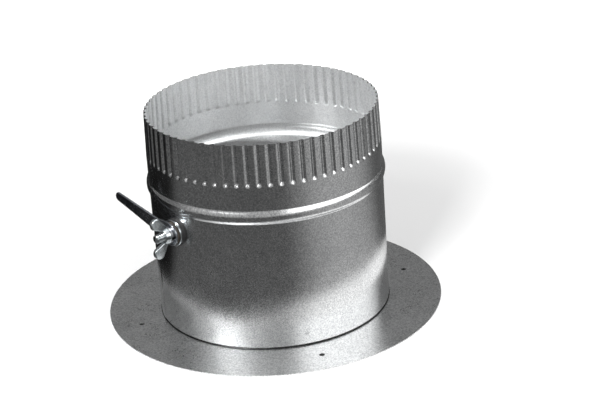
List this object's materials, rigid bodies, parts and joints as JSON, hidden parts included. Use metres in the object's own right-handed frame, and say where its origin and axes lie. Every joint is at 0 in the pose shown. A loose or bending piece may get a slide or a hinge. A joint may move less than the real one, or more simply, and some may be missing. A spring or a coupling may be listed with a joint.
{
  "type": "volume control damper",
  "caption": "Round sheet-steel take-off collar with a mounting flange, a crimped end, and a blade damper turned by an outside lever locked by a wing nut.",
  "frame": {"origin": "centre of the mounting flange's underside, which is the duct axis at the mounting face", "axes": "+Z along the duct axis towards the crimped end, damper shaft along Y with the lever on the -Y side"},
  "size_m": [0.2956, 0.2956, 0.185],
  "materials": {
    "galvanised_sheet": "hot-dip galvanised, faint spangle",
    "blade_sheet": "hot-dip galvanised",
    "zinc_plated": "bright zinc plated",
    "spring_steel": "satin",
    "bush_plastic": "moulded, matte",
    "gasket_rubber": "matte",
    "friction_fibre": "pressed fibre, matte",
    "rivet_aluminium": "satin"
  },
  "bodies": {
    "collar": {"collar_shell": "galvanised_sheet", "flange_ring": "galvanised_sheet", "flange_neck": "galvanised_sheet", "lever_side_bush": "bush_plastic", "tail_side_bush": "bush_plastic", "lever_side_gasket": "gasket_rubber", "tail_side_gasket": "gasket_rubber"},
    "damper": {"blade": "blade_sheet", "shaft": "zinc_plated", "lever_side_strap": "blade_sheet", "tail_side_strap": "blade_sheet", "strap_rivets": "rivet_aluminium", "thrust_washer": "zinc_plated", "retaining_clip": "spring_steel", "lever_side_washer": "zinc_plated", "friction_washer": "friction_fibre", "lever": "zinc_plated", "tail_side_washer": "zinc_plated", "push_nut": "spring_steel"},
    "nut_seat": {"lock_washer": "spring_steel"},
    "nut": {"wing_nut": "zinc_plated"}
  },
  "joints": [
    {"name": "damper_turn", "type": "hinge", "parent": "collar", "child": "damper", "pos_m": [0, 0, 0.099], "axis": [0, 1, 0], "range_deg": [-12.5, 77.5]},
    {"name": "nut_travel", "type": "slide", "parent": "damper", "child": "nut_seat", "axis": [0, -1, 0], "range_m": [0, 0.00141]},
    {"name": "nut_turn", "type": "hinge", "parent": "nut_seat", "child": "nut", "pos_m": [0, -0.1, 0.099], "axis": [0, -1, 0], "range_deg": [0, 360]}
  ],
  "couplings": [
    {"joint": "nut_travel", "follows": "nut_turn", "m_per_rad": 0.00022418}
  ]
}
